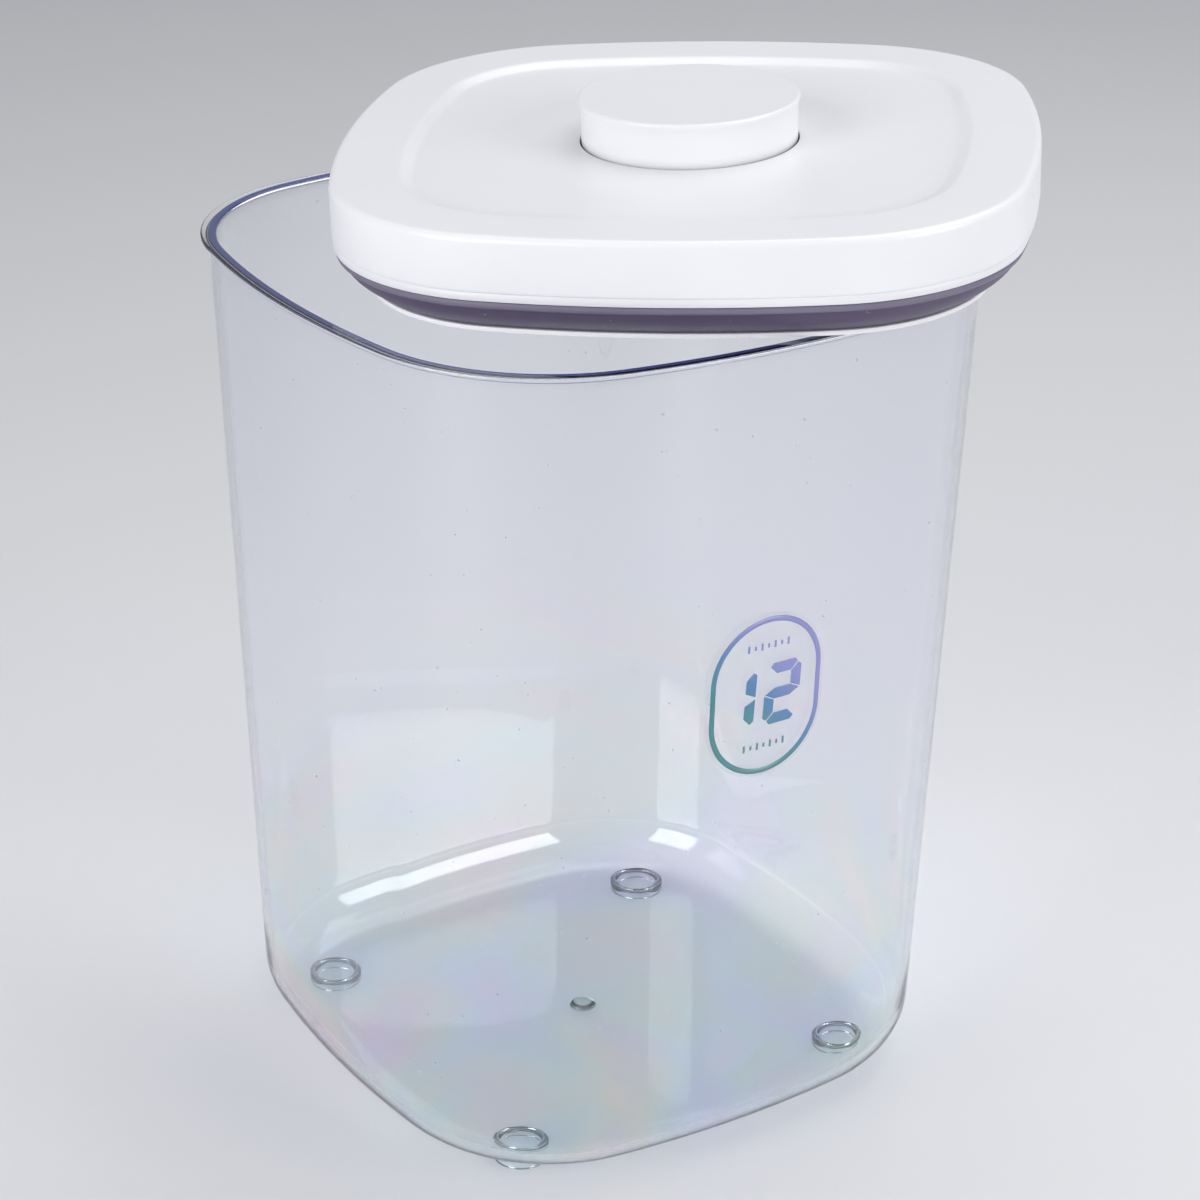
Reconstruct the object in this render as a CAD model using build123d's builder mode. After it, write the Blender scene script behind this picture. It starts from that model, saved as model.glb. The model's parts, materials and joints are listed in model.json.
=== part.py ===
# Pet food storage container: a clear tapered tub with a push-button lid that lies askew on its rim.
# Millimetres, +Z up. The origin is on the floor, under the middle of the tub; -Y is the labelled front.
# Lid pieces are drawn on the lid's own plane, whose zero height is the underside of its pressure plate.
import os
from math import asin, cos, degrees, pi, radians, sin, sqrt, tan

from build123d import *

# Tub
rim_half_width = 120.0
rim_side_radius = 342.0
rim_corner_radius = 68.0
rim_height = 305.3
rim_flange_thickness = 1.5
rim_flange_overhang = 2.45
wall_thickness = 2.6
base_half_width = 107.0
base_side_radius = 390.0
base_corner_radius = 66.0
floor_thickness = 3.0
base_edge_radius = 21.0
foot_height = 3.0
foot_spacing = 137.0
foot_outer_radius = 9.8
foot_inner_radius = 7.3
foot_root_depth = 2.0
gate_radius = 5.0
gate_height = 1.2

# Label film on the front wall
label_width = 46.0
label_height = 60.0
label_centre_x = -1.8
label_centre_height = 182.0
label_film_thickness = 0.25
label_film_gap = 0.1

# Where the lid lies: how far it is moved, turned and tilted, and its height over the rim
lid_shift_x = 35.9
lid_shift_y = -7.9
lid_turn_angle = 51.1
lid_tilt_about_x = -1.02
lid_tilt_about_y = -2.2
lid_rest_clearance = 0.05

# Lid cover and lower frame
cover_half_width = 118.3
cover_side_radius = 340.0
cover_corner_radius = 68.6
cover_bottom_height = 14.25
cover_total_height = 21.25
cover_wall_thickness = 2.4
cover_top_edge_radius = 2.2
panel_border_width = 23.3
panel_depth = 2.0
panel_slope_width = 4.0
frame_band_height = 2.9
frame_band_recess = 0.4
frame_floor_thickness = 2.0
frame_fit_clearance = 0.3
frame_upstand_height = 5.0
frame_upstand_thickness = 1.8
frame_skirt_inset = 6.2
frame_skirt_thickness = 2.0
frame_skirt_drop = 8.2

# Gasket and pressure plate
plate_inset = 12.1
plate_edge_thickness = 1.4
plate_floor_thickness = 2.0
plate_rib_height = 3.5
plate_rib_thickness = 1.5
gasket_seat_gap = 0.25
gasket_bottom_inset = 0.6
gasket_top_inset = 2.1
gasket_bulge = 1.6

# Button
button_radius = 37.6
button_lip_depth = 2.4
button_travel = 13.0
button_pressed_rise = 0.2
button_wall_gap = 0.6
button_wall_thickness = 2.0
button_top_thickness = 2.2
button_hole_gap = 0.45
button_edge_radius = 0.9
button_wall_depth = 16.0
sliding_gap = 0.35
stem_outer_radius = 10.0
stem_inner_radius = 7.6
stem_length = 26.5
stem_flange_radius = 20.0
stem_flange_thickness = 1.6
guide_wall_thickness = 2.2
guide_height = 12.5
screw_radius = 2.0
screw_head_radius = 3.8
screw_head_height = 2.4
screw_length = 9.0

# Return spring
spring_radius = 16.4
spring_wire_radius = 0.7
spring_turns = 5

# Push-push latch: a cam blade that rides with the button, and a pin that follows its track
blade_distance = 27.5
blade_width = 16.0
blade_thickness = 3.0
blade_drop = 22.0
track_depth = 1.4
track_width = 12.0
track_margin = 2.0
island_size = 2.6
island_offset = 3.4
pin_wire_radius = 0.8
pin_pivot_height = 5.0
pin_tip_height = 10.2
pin_arm_gap = 2.0
pin_post_width = 9.0
pin_post_thickness = 3.2
pin_post_rise = 3.0

# Lift levers that turn the button's stroke into a squeeze of the gasket
lever_count = 4
lever_pivot_distance = 49.5
lever_pivot_height = 23.5
lever_inner_arm = 14.0
lever_outer_arm = 4.5
lever_arm_thickness = 2.4
lever_arm_width = 6.0
lever_hub_radius = 3.2
lever_hub_width = 13.2
lever_button_gap = 0.3
lever_pin_radius = 1.5
lever_pin_fit = 0.05
ear_thickness = 2.5
ear_gap = 0.4
ear_radial_length = 8.0
ear_rise = 3.4
post_width = 12.0
post_thickness = 2.6
post_distance_gap = 0.3
post_bar_height = 2.7
post_window_side_gap = 0.5
window_gap = 0.5


def squircle(half_width, side_radius, corner_radius):
    """A rounded-square face: four wide side arcs, each joined by a tangent corner arc."""
    lean = pi / 4 - asin((side_radius - half_width) / (sqrt(2) * (side_radius - corner_radius)))
    join = (side_radius - corner_radius) * sin(lean)
    near = join + corner_radius * sin(lean)
    far = join + corner_radius * cos(lean)
    corner_middle = join + corner_radius * sqrt(0.5)
    with BuildSketch() as face:
        with BuildLine():
            for quarter in range(4):
                turn = Rot(0, 0, 90 * quarter)
                side = [(far, -near), (half_width, 0), (far, near)]
                corner = [(far, near), (corner_middle, corner_middle), (near, far)]
                for arc in (side, corner):
                    ends = [(turn * Pos(*point)).position for point in arc]
                    ThreePointArc(*ends)
        make_face()
    return face.sketch


def inset_squircle(half_width, side_radius, corner_radius, inset):
    """The same rounded square drawn a distance inside its outline."""
    return squircle(half_width - inset, side_radius - inset, corner_radius - inset)


def cover_outline(inset):
    return inset_squircle(cover_half_width, cover_side_radius, cover_corner_radius, inset)


def outline_at_half_width(half_width):
    """The lid's rounded square brought to another half width."""
    return cover_outline(cover_half_width - half_width)


# Planes of the lid
tilt = Rot(0, lid_tilt_about_y, 0) * Rot(lid_tilt_about_x, 0, 0)
lid_location = Pos(lid_shift_x, lid_shift_y, rim_height + lid_rest_clearance) * tilt * Rot(0, 0, lid_turn_angle)
lid_plane = Plane(lid_location)
lid_axis = Axis(lid_plane.origin, lid_plane.z_dir)

# Half widths of the lid's outlines
panel_half_width = cover_half_width - panel_border_width
plate_half_width = cover_half_width - plate_inset
gasket_top_half_width = cover_half_width - gasket_top_inset
frame_skirt_half_width = plate_half_width - frame_skirt_inset

# Heights over the lid's plane
cover_top = cover_bottom_height + cover_total_height
band_top = cover_bottom_height + frame_band_height
panel_top = cover_top - panel_depth
panel_underside = panel_top - cover_wall_thickness
floor_top = cover_bottom_height + frame_floor_thickness
button_top = cover_top + button_travel + button_pressed_rise
button_underside = button_top - button_top_thickness
button_wall_radius = button_radius - button_wall_gap
button_wall_bottom = button_underside - button_wall_depth
hole_radius = button_radius + button_hole_gap
guide_inner_radius = stem_outer_radius + sliding_gap
guide_outer_radius = guide_inner_radius + guide_wall_thickness
stem_top = button_underside
stem_bottom = stem_top - stem_length


def lid_side_plane(angle):
    """A plane through the lid's axis: x points outwards at the angle, y goes up the axis."""
    turned = Plane(lid_location * Rot(0, 0, angle))
    return Plane(turned.origin, x_dir=turned.x_dir, z_dir=-turned.y_dir)


# Tub: tapered shell with a rolled base edge, an outward rim flange and four ring feet
flange_bottom = rim_height - rim_flange_thickness
body_half_width = rim_half_width - rim_flange_overhang
top_outline = (body_half_width, rim_side_radius, rim_corner_radius)
base_outline = (base_half_width, base_side_radius, base_corner_radius)
with BuildPart() as tub:
    with BuildSketch(Plane.XY.offset(foot_height)):
        add(squircle(*base_outline))
    with BuildSketch(Plane.XY.offset(rim_height)):
        add(squircle(*top_outline))
    loft(ruled=True)
    fillet(tub.faces().sort_by(Axis.Z)[0].edges(), base_edge_radius)
    with BuildSketch(Plane.XY.offset(flange_bottom)):
        add(squircle(rim_half_width, rim_side_radius, rim_corner_radius))
    extrude(amount=rim_flange_thickness)
with BuildPart() as tub_cavity:
    with BuildSketch(Plane.XY.offset(foot_height + floor_thickness)):
        add(inset_squircle(*base_outline, wall_thickness))
    with BuildSketch(Plane.XY.offset(rim_height)):
        add(inset_squircle(*top_outline, wall_thickness))
    loft(ruled=True)
    fillet(tub_cavity.faces().sort_by(Axis.Z)[0].edges(), base_edge_radius - wall_thickness)
with tub:
    add(tub_cavity.part, mode=Mode.SUBTRACT)
    with BuildSketch(Plane.XY):
        with GridLocations(foot_spacing, foot_spacing, 2, 2):
            Circle(foot_outer_radius)
            Circle(foot_inner_radius, mode=Mode.SUBTRACT)
    extrude(amount=foot_height + foot_root_depth)
    with BuildSketch(Plane.XY.offset(foot_height - gate_height)):
        Circle(gate_radius)
    extrude(amount=gate_height)
tub.part.label = "tub"

# Label: a thin capsule film that follows the front wall
film_inner = label_film_gap
film_outer = label_film_gap + label_film_thickness
with BuildPart() as film_bed:
    with BuildSketch(Plane.XY.offset(foot_height)):
        add(inset_squircle(*base_outline, -film_inner))
    with BuildSketch(Plane.XY.offset(rim_height)):
        add(inset_squircle(*top_outline, -film_inner))
    loft(ruled=True)
with BuildPart() as label:
    with BuildSketch(Plane.XY.offset(foot_height)):
        add(inset_squircle(*base_outline, -film_outer))
    with BuildSketch(Plane.XY.offset(rim_height)):
        add(inset_squircle(*top_outline, -film_outer))
    loft(ruled=True)
    add(film_bed.part, mode=Mode.SUBTRACT)
    with BuildSketch(Plane((label_centre_x, 0, label_centre_height), x_dir=(1, 0, 0), z_dir=(0, -1, 0))):
        SlotOverall(label_height, label_width, rotation=90)
    extrude(amount=rim_half_width + wall_thickness, mode=Mode.INTERSECT)
label.part.label = "label"

# Pressure plate: the thin ring that shows under the gasket, with the posts that the levers lift
toe_rest_angle = degrees(asin((button_wall_bottom - lever_button_gap - lever_arm_thickness / 2
                               - lever_pivot_height) / lever_inner_arm))
post_inner_distance = lever_pivot_distance + lever_hub_radius + post_distance_gap
post_window_width = lever_arm_width + 2 * post_window_side_gap
arm_top_at_post = (lever_pivot_height + lever_arm_thickness / 2 / cos(radians(toe_rest_angle))
                   - (post_inner_distance - lever_pivot_distance) * tan(radians(toe_rest_angle)))
post_bar_bottom = arm_top_at_post + lever_button_gap
post_top = post_bar_bottom + post_bar_height
post_window_bottom = floor_top + frame_floor_thickness
rib_half_width = frame_skirt_half_width - frame_skirt_thickness - 2 * sliding_gap
lever_angles = [45 + 360 / lever_count * index for index in range(lever_count)]
with BuildPart() as pressure_plate:
    with BuildSketch(lid_plane):
        add(outline_at_half_width(plate_half_width))
    extrude(amount=plate_edge_thickness)
    with BuildSketch(lid_plane):
        add(outline_at_half_width(rib_half_width))
    extrude(amount=plate_floor_thickness)
    with BuildSketch(lid_plane):
        add(outline_at_half_width(rib_half_width))
        add(outline_at_half_width(rib_half_width - plate_rib_thickness), mode=Mode.SUBTRACT)
    extrude(amount=plate_floor_thickness + plate_rib_height)
    with BuildSketch(lid_plane):
        for angle in lever_angles:
            with Locations(Rot(0, 0, angle) * Pos(post_inner_distance + post_thickness / 2, 0)):
                Rectangle(post_thickness, post_width)
    extrude(amount=post_top)
    with BuildSketch(lid_plane.offset(post_window_bottom)):
        for angle in lever_angles:
            with Locations(Rot(0, 0, angle) * Pos(post_inner_distance + post_thickness / 2, 0)):
                Rectangle(2 * post_thickness, post_window_width)
    extrude(amount=post_bar_bottom - post_window_bottom, mode=Mode.SUBTRACT)
pressure_plate.part.label = "pressure_plate"

# Lower frame: the band under the cover, with the floor, gasket skirt, button guide and lever ears
upstand_half_width = cover_half_width - cover_wall_thickness - frame_fit_clearance
window_inner_distance = lever_pivot_distance - lever_inner_arm - 1.5 * lever_arm_thickness
window_outer_distance = post_inner_distance + post_thickness + window_gap
window_centre = (window_inner_distance + window_outer_distance) / 2
window_width = post_width + 2 * window_gap
ear_offset = lever_hub_width / 2 + ear_gap + ear_thickness / 2
ear_top = lever_pivot_height + ear_rise
blade_slot_width = blade_width + 2 * sliding_gap
blade_slot_thickness = blade_thickness + 2 * sliding_gap
pin_arm_distance = blade_distance - blade_thickness / 2 - pin_arm_gap - pin_wire_radius
pin_post_distance = pin_arm_distance - pin_wire_radius - pin_post_thickness / 2
pin_pivot = floor_top + pin_pivot_height
pin_tip = floor_top + pin_tip_height
with BuildPart() as lower_frame:
    with BuildSketch(lid_plane.offset(cover_bottom_height)):
        add(outline_at_half_width(cover_half_width - frame_band_recess))
    extrude(amount=frame_band_height)
    with BuildSketch(lid_plane.offset(floor_top)):
        add(outline_at_half_width(upstand_half_width - frame_upstand_thickness))
    extrude(amount=frame_band_height, mode=Mode.SUBTRACT)
    with BuildSketch(lid_plane.offset(floor_top)):
        add(outline_at_half_width(upstand_half_width))
        add(outline_at_half_width(upstand_half_width - frame_upstand_thickness), mode=Mode.SUBTRACT)
    extrude(amount=frame_band_height - frame_floor_thickness + frame_upstand_height)
    with BuildSketch(lid_plane.offset(cover_bottom_height - frame_skirt_drop)):
        add(outline_at_half_width(frame_skirt_half_width))
        add(outline_at_half_width(frame_skirt_half_width - frame_skirt_thickness), mode=Mode.SUBTRACT)
    extrude(amount=frame_skirt_drop)
    with BuildSketch(lid_plane.offset(floor_top)):
        Circle(guide_outer_radius)
    extrude(amount=guide_height)
    with BuildSketch(lid_plane.offset(cover_bottom_height)):
        Circle(guide_inner_radius)
    extrude(amount=frame_floor_thickness + guide_height, mode=Mode.SUBTRACT)
    with BuildSketch(lid_plane.offset(cover_bottom_height)):
        for angle in lever_angles:
            with Locations(Rot(0, 0, angle) * Pos(window_centre, 0)):
                Rectangle(window_outer_distance - window_inner_distance, window_width)
        with Locations((blade_distance, 0)):
            Rectangle(blade_slot_thickness, blade_slot_width)
    extrude(amount=frame_floor_thickness, mode=Mode.SUBTRACT)
    for angle in lever_angles:
        for side in (-1, 1):
            with BuildSketch(lid_side_plane(angle).offset(side * ear_offset - ear_thickness / 2)):
                with Locations((lever_pivot_distance, (floor_top + ear_top) / 2)):
                    Rectangle(ear_radial_length, ear_top - floor_top)
                with Locations((lever_pivot_distance, lever_pivot_height)):
                    Circle(lever_pin_radius, mode=Mode.SUBTRACT)
            extrude(amount=ear_thickness)
    with BuildSketch(lid_side_plane(90).offset(pin_post_distance - pin_post_thickness / 2)):
        with Locations((0, (floor_top + pin_pivot + pin_post_rise) / 2)):
            Rectangle(pin_post_width, pin_pivot + pin_post_rise - floor_top)
        with Locations((0, pin_pivot)):
            Circle(pin_wire_radius + lever_pin_fit, mode=Mode.SUBTRACT)
    extrude(amount=pin_post_thickness)
lower_frame.part.label = "lower_frame"

# Top cover: a shell with a soft-edged recessed panel and the button's hole
with BuildPart() as top_cover:
    with BuildSketch(lid_plane.offset(band_top)):
        add(cover_outline(0))
    extrude(amount=cover_top - band_top)
    fillet(top_cover.faces().sort_by(lid_axis)[-1].edges(), cover_top_edge_radius)
    with BuildSketch(lid_plane.offset(band_top)):
        add(cover_outline(cover_wall_thickness))
    extrude(amount=panel_underside - band_top, mode=Mode.SUBTRACT)
    with BuildSketch(lid_plane.offset(panel_top)):
        add(outline_at_half_width(panel_half_width - panel_slope_width))
    with BuildSketch(lid_plane.offset(cover_top)):
        add(outline_at_half_width(panel_half_width))
    loft(ruled=True, mode=Mode.SUBTRACT)
    with BuildSketch(lid_plane.offset(panel_underside)):
        Circle(hole_radius)
    extrude(amount=cover_wall_thickness, mode=Mode.SUBTRACT)
top_cover.part.label = "top_cover"

# Gasket: a hollow ring, wider at its top, that the plate squeezes against the frame
gasket_bottom = plate_edge_thickness + gasket_seat_gap
gasket_bottom_half_width = plate_half_width - gasket_bottom_inset
gasket_height = cover_bottom_height - gasket_bottom
gasket_middle_half_width = (gasket_bottom_half_width + gasket_top_half_width) / 2 + gasket_bulge
with BuildPart() as gasket:
    with BuildSketch(lid_plane.offset(gasket_bottom)):
        add(outline_at_half_width(gasket_bottom_half_width))
    with BuildSketch(lid_plane.offset(gasket_bottom + gasket_height / 2)):
        add(outline_at_half_width(gasket_middle_half_width))
    loft(ruled=True)
    with BuildSketch(lid_plane.offset(gasket_bottom + gasket_height / 2)):
        add(outline_at_half_width(gasket_middle_half_width))
    with BuildSketch(lid_plane.offset(cover_bottom_height)):
        add(outline_at_half_width(gasket_top_half_width))
    loft(ruled=True)
    with BuildSketch(lid_plane.offset(gasket_bottom)):
        add(outline_at_half_width(frame_skirt_half_width + sliding_gap))
    extrude(amount=gasket_height, mode=Mode.SUBTRACT)
gasket.part.label = "gasket"

# Button: a round cap with a small flared lip, standing proud of the cover
with BuildPart() as button:
    with BuildSketch(lid_plane.offset(button_wall_bottom)):
        Circle(button_wall_radius)
    extrude(amount=button_top - button_wall_bottom)
    with BuildSketch(lid_plane.offset(button_top - button_lip_depth)):
        Circle(button_wall_radius)
    with BuildSketch(lid_plane.offset(button_top - button_edge_radius)):
        Circle(button_radius)
    loft()
    with BuildSketch(lid_plane.offset(button_top - button_edge_radius)):
        Circle(button_radius)
    extrude(amount=button_edge_radius)
    fillet(button.faces().sort_by(lid_axis)[-1].edges(), button_edge_radius * 0.9)
    with BuildSketch(lid_plane.offset(button_wall_bottom)):
        Circle(button_wall_radius - button_wall_thickness)
    extrude(amount=button_wall_depth, mode=Mode.SUBTRACT)
    with BuildSketch(lid_plane.offset(button_underside - screw_length)):
        Circle(stem_inner_radius - sliding_gap)
        Circle(screw_radius, mode=Mode.SUBTRACT)
    extrude(amount=screw_length)
button.part.label = "button"

# Stem: the tube under the button that runs in the frame's guide
stem_web_top = stem_top - screw_length
with BuildPart() as button_stem:
    with BuildSketch(lid_plane.offset(stem_bottom)):
        Circle(stem_outer_radius)
    extrude(amount=stem_length)
    with BuildSketch(lid_plane.offset(stem_top - stem_flange_thickness)):
        Circle(stem_flange_radius)
    extrude(amount=stem_flange_thickness)
    with BuildSketch(lid_plane.offset(stem_web_top)):
        Circle(stem_inner_radius)
    extrude(amount=screw_length, mode=Mode.SUBTRACT)
    with BuildSketch(lid_plane.offset(stem_bottom)):
        Circle(stem_inner_radius)
    extrude(amount=stem_length - screw_length - stem_flange_thickness, mode=Mode.SUBTRACT)
    with BuildSketch(lid_plane.offset(stem_web_top - stem_flange_thickness)):
        Circle(screw_radius + sliding_gap)
    extrude(amount=stem_flange_thickness, mode=Mode.SUBTRACT)
button_stem.part.label = "button_stem"

# Screw that holds the stem to the button
screw_seat = stem_web_top - stem_flange_thickness
with BuildPart() as stem_screw:
    with BuildSketch(lid_plane.offset(screw_seat - screw_head_height)):
        Circle(screw_head_radius)
    extrude(amount=screw_head_height)
    with BuildSketch(lid_plane.offset(screw_seat)):
        Circle(screw_radius)
    extrude(amount=screw_length - stem_flange_thickness)
stem_screw.part.label = "stem_screw"

# Latch blade: hangs from the stem's flange, with a track pocket and a heart-shaped island
blade_top = stem_top - stem_flange_thickness
with BuildPart() as latch_blade:
    with BuildSketch(lid_plane.offset(blade_top - blade_drop)):
        with Locations((blade_distance, 0)):
            Rectangle(blade_thickness, blade_width)
    extrude(amount=blade_drop + stem_flange_thickness)
    with BuildSketch(lid_plane.offset(stem_top - stem_flange_thickness)):
        with Locations(((stem_flange_radius + blade_distance) / 2, 0)):
            Rectangle(blade_distance - stem_flange_radius, blade_width)
        Circle(stem_flange_radius, mode=Mode.SUBTRACT)
    extrude(amount=stem_flange_thickness)
    track_height = blade_drop - 2 * track_margin
    track_middle = blade_top - blade_drop + track_margin + track_height / 2
    pocket_plane = lid_plane.offset(track_middle - track_height / 2)
    with BuildSketch(pocket_plane):
        with Locations((blade_distance - blade_thickness / 2 + track_depth / 2, 0)):
            Rectangle(track_depth, track_width)
    extrude(amount=track_height, mode=Mode.SUBTRACT)
    with BuildSketch(lid_side_plane(90).offset(blade_distance - blade_thickness / 2)):
        with Locations((island_offset, track_middle)):
            Rectangle(island_size, island_size, rotation=45)
    extrude(amount=track_depth)
latch_blade.part.label = "latch_blade"

# Latch pin: a cranked wire whose tip rides in the blade's track
pin_tip_reach = blade_distance - blade_thickness / 2 + track_depth - sliding_gap
with BuildPart() as latch_pin:
    with BuildSketch(lid_side_plane(90).offset(pin_post_distance - pin_post_thickness / 2)):
        with Locations((0, pin_pivot)):
            Circle(pin_wire_radius)
    extrude(amount=pin_arm_distance - pin_post_distance + pin_post_thickness / 2)
    with BuildSketch(lid_plane.offset(pin_pivot)):
        with Locations((pin_arm_distance, 0)):
            Circle(pin_wire_radius)
    extrude(amount=pin_tip - pin_pivot)
    with BuildSketch(lid_side_plane(90).offset(pin_arm_distance)):
        with Locations((0, pin_tip)):
            Circle(pin_wire_radius)
    extrude(amount=pin_tip_reach - pin_arm_distance)
latch_pin.part.label = "latch_pin"

# Return spring: one wound wire between the frame's floor and the stem's flange
spring_bottom = floor_top + spring_wire_radius + lever_pin_fit
spring_length = blade_top - floor_top - 2 * (spring_wire_radius + lever_pin_fit)
spring_base = lid_plane.offset(spring_bottom)
with BuildPart() as return_spring:
    with BuildLine():
        wire_path = Helix(spring_length / spring_turns, spring_length, spring_radius,
                          center=spring_base.origin, direction=spring_base.z_dir)
    with BuildSketch(Plane(wire_path @ 0, z_dir=wire_path % 0)):
        Circle(spring_wire_radius)
    sweep(path=wire_path, is_frenet=True)
return_spring.part.label = "return_spring"

# Lift levers: the button pushes each inner arm down, and its toe lifts a post of the plate
levers = []
arm_length = lever_inner_arm + lever_outer_arm
arm_middle = (lever_inner_arm - lever_outer_arm) / 2
for number, angle in enumerate(lever_angles, start=1):
    side_plane = lid_side_plane(angle)
    pivot_place = Pos(lever_pivot_distance, lever_pivot_height) * Rot(0, 0, -toe_rest_angle)
    with BuildPart() as lever:
        with BuildSketch(side_plane.offset(-lever_arm_width / 2)):
            with Locations(pivot_place * Pos(-arm_middle, 0)):
                SlotCenterToCenter(arm_length, lever_arm_thickness)
        extrude(amount=lever_arm_width)
        with BuildSketch(side_plane.offset(-lever_hub_width / 2)):
            with Locations(pivot_place):
                Circle(lever_hub_radius)
        extrude(amount=lever_hub_width)
        with BuildSketch(side_plane.offset(-lever_hub_width / 2)):
            with Locations(pivot_place):
                Circle(lever_pin_radius + lever_pin_fit)
        extrude(amount=lever_hub_width, mode=Mode.SUBTRACT)
    lever.part.label = f"lift_lever_{number}"
    levers.append(lever)

# Lever pins, held in the frame's ears
pin_length = 2 * ear_offset + ear_thickness
with BuildPart() as lever_pins:
    for angle in lever_angles:
        with BuildSketch(lid_side_plane(angle).offset(-pin_length / 2)):
            with Locations((lever_pivot_distance, lever_pivot_height)):
                Circle(lever_pin_radius)
        extrude(amount=pin_length)
lever_pins.part.label = "lever_pins"

os.makedirs("parts", exist_ok=True)
pieces = [tub, label, top_cover, lower_frame, gasket, pressure_plate, button, button_stem, stem_screw,
          latch_blade, latch_pin, return_spring, lever_pins] + levers
for piece in pieces:
    export_step(piece.part, f"parts/{piece.part.label}.step")
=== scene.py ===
"""The finish of a pet food storage container: a clear tub and the push-button lid that lies on its rim.

Shapes are in millimetres until ring_mesh turns them into metres. Materials, lights and the camera are
in metres.
"""

import json
import logging
import math
from dataclasses import dataclass, field
from enum import Enum
from typing import Sequence

import bpy
import numpy as np
from mathutils import Matrix, Vector


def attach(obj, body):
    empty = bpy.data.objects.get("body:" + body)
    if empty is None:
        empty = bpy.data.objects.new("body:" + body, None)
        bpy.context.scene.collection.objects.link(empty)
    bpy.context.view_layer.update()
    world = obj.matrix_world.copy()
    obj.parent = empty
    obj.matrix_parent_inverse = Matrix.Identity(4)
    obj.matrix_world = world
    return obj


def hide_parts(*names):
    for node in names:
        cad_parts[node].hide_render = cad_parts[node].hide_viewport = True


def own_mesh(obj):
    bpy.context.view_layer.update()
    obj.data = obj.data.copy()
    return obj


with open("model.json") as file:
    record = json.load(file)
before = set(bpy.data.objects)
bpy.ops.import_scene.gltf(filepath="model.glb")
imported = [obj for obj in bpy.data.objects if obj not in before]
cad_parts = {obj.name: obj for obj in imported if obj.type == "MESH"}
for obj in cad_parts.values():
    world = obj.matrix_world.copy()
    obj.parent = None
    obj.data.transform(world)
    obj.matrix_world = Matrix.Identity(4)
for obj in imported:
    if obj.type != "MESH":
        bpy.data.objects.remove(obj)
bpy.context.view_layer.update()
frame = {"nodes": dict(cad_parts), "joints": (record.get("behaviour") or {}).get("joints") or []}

log = logging.getLogger("container")
METRES = 0.001

Colour = tuple[float, float, float, float]
Point = tuple[float, float, float]
Pair = tuple[float, float]
Inputs = dict[str | int, object]
Node = bpy.types.Node
Socket = bpy.types.NodeSocket

# Most of the grain's mask lies between these two values
GRAIN_MIDDLE: Pair = (0.3, 0.7)


class Body(Enum):
    """The moving bodies that pieces ride on."""

    TUB = "tub"
    LID = "lid"
    BUTTON = "button"
    PLATE = "plate"


# Outlines and surfaces


def unit(rows: np.ndarray) -> np.ndarray:
    """Each row divided by its own length."""
    return rows / np.linalg.norm(rows, axis=1, keepdims=True)


def unit_circle(angles: np.ndarray) -> np.ndarray:
    """One row (cosine, sine) for each angle."""
    return np.stack([np.cos(angles), np.sin(angles)], axis=1)


def full_turn(steps: int) -> np.ndarray:
    """Even angles round a whole circle, without its closing one."""
    return np.linspace(0, 2 * math.pi, steps, endpoint=False)


def at_height(flat: np.ndarray, height: float) -> np.ndarray:
    """Flat points (x, y) with one height added."""
    return np.column_stack([flat, np.full(len(flat), height)])


@dataclass(frozen=True)
class RoundedSquare:
    """A rounded square of four wide side arcs and four tangent corner arcs."""

    half_width: float
    side_radius: float
    corner_radius: float
    per_arc: int = 24

    def inset(self, distance: float) -> "RoundedSquare":
        """The same outline drawn a distance inside this one."""
        return RoundedSquare(self.half_width - distance, self.side_radius - distance,
                             self.corner_radius - distance, self.per_arc)

    def lean(self) -> float:
        """Half the angle that each side arc spans."""
        diagonal = math.sqrt(2) * (self.side_radius - self.corner_radius)
        return math.pi / 4 - math.asin((self.side_radius - self.half_width) / diagonal)

    def directions(self) -> np.ndarray:
        """Outward unit directions round the outline.

        Returns:
            One row (x, y) for each point. Each arc's angle runs evenly, so the direction of a point
            is the cosine and sine of its arc's angle, turned by its quarter.
        """
        steps = np.arange(self.per_arc) / self.per_arc
        side = -self.lean() + 2 * self.lean() * steps
        corner = self.lean() + (math.pi / 2 - 2 * self.lean()) * steps
        quarter = np.concatenate([side, corner])
        return unit_circle((quarter[None, :] + np.arange(4)[:, None] * math.pi / 2).ravel())

    def points(self) -> np.ndarray:
        """Points round the outline.

        Returns:
            One row (x, y) for each point: an arc's centre plus its radius along the direction. Side
            arcs are centred on the far half of an axis, corner arcs on the diagonal.
        """
        join = (self.side_radius - self.corner_radius) * math.sin(self.lean())
        side_centre = np.array([self.half_width - self.side_radius, 0.0])
        corner_centre = np.array([join, join])
        centres = np.repeat([side_centre, corner_centre], self.per_arc, axis=0)
        radii = np.repeat([self.side_radius, self.corner_radius], self.per_arc)
        turns = np.arange(4) * math.pi / 2
        cosines, sines = np.cos(turns), np.sin(turns)
        turn = np.stack([cosines, -sines, sines, cosines], axis=1).reshape(4, 2, 2)
        placed = np.einsum("qij,nj->qni", turn, centres).reshape(-1, 2)
        return placed + np.tile(radii, 4)[:, None] * self.directions()


def arc_profile(centre: Pair, radius: float, start: float, end: float, steps: int) -> np.ndarray:
    """Points on a circular arc of a profile.

    Args:
        centre: the arc's middle, across and up.
        radius: its radius.
        start: its first angle in degrees, counted from across towards up.
        end: its last angle in degrees.
        steps: how many points it has.

    Returns:
        One row (across, up) for each point: centre plus radius times (cosine, sine) of the angle.
    """
    return np.array(centre) + radius * unit_circle(np.radians(np.linspace(start, end, steps)))


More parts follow.
